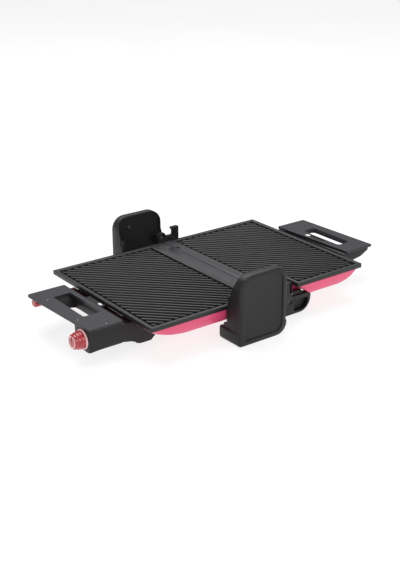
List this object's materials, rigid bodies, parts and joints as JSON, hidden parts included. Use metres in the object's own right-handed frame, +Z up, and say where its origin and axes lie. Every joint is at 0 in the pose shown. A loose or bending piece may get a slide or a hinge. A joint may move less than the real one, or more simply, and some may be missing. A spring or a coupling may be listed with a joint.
{
  "type": "panini press",
  "caption": "Fold-flat contact grill with ridged removable plates in pink trays, joined by side pillars and a floating lid hinge, with looped handles and a dial.",
  "frame": {"origin": "centre of the footprint on the table plane, with the press opened flat", "axes": "+X from the base half with the dial toward the lid half, +Y along the hinge away from the dial, +Z up"},
  "size_m": [0.6289, 0.37, 0.12],
  "materials": {
    "pink_shell": "smooth satin",
    "grey_frame": "satin",
    "grey_handle": "satin",
    "plate_coating": "non-stick coated casting",
    "reflector": "rolled",
    "heater_steel": "sheathed tube",
    "bright_steel": "zinc plated",
    "pale_ring": "gloss",
    "ceramic_white": "unglazed",
    "red_knob": "translucent gloss",
    "white_latch": "satin",
    "rubber": "moulded",
    "dark_plastic": "fine grain"
  },
  "bodies": {
    "base": {"base_shell": "pink_shell", "base_frame": "grey_frame", "base_reflector": "reflector", "base_heater": "heater_steel", "base_handle_top": "grey_handle", "base_handle_body": "dark_plastic", "base_button_spring": "bright_steel", "thermostat_bezel": "pale_ring", "thermostat_body": "ceramic_white", "power_lamp": "red_knob", "pillar_near": "dark_plastic", "pillar_far": "dark_plastic", "pillar_cover_near": "dark_plastic", "pillar_cover_far": "dark_plastic", "hinge_pin_near": "bright_steel", "hinge_pin_far": "bright_steel", "foot_pad_near": "rubber", "foot_pad_far": "rubber", "cover_screw_upper_near": "bright_steel", "cover_screw_upper_far": "bright_steel", "cover_screw_lower_near": "bright_steel", "cover_screw_lower_far": "bright_steel", "base_plate": "plate_coating"},
    "knob": {"thermostat_knob": "red_knob"},
    "base_button": {"base_release_button": "dark_plastic"},
    "arms": {"arm_near": "dark_plastic", "arm_far": "dark_plastic", "cross_rod": "bright_steel"},
    "lid": {"lid_shell": "pink_shell", "lid_frame": "grey_frame", "lid_reflector": "reflector", "lid_heater": "heater_steel", "lid_handle_top": "grey_handle", "lid_handle_body": "dark_plastic", "lid_button_spring": "bright_steel", "guide_pin_near": "bright_steel", "guide_pin_far": "bright_steel", "lid_plate": "plate_coating"},
    "lid_button": {"lid_release_button": "dark_plastic"}
  },
  "joints": [
    {"name": "lid_fold", "type": "hinge", "parent": "base", "child": "arms", "pos_m": [0.013, 0, 0.07], "axis": [0, -1, 0], "range_deg": [0, 180]},
    {"name": "lid_float", "type": "slide", "parent": "arms", "child": "lid", "axis": [0, 0, 1], "range_m": [0, 0.015]},
    {"name": "thermostat_turn", "type": "hinge", "parent": "base", "child": "knob", "pos_m": [-0.2925, -0.07, 0.036], "axis": [-1, 0, 0], "range_deg": [0, 270]},
    {"name": "base_button_press", "type": "slide", "parent": "base", "child": "base_button", "axis": [0, 0, -1], "range_m": [0, 0.003], "stiffness_N_per_m": 400, "springref_m": -0.003, "deforming": ["base_button_spring"]},
    {"name": "lid_button_press", "type": "slide", "parent": "lid", "child": "lid_button", "axis": [0, 0, -1], "range_m": [0, 0.003], "stiffness_N_per_m": 400, "springref_m": -0.003, "deforming": ["lid_button_spring"]}
  ]
}
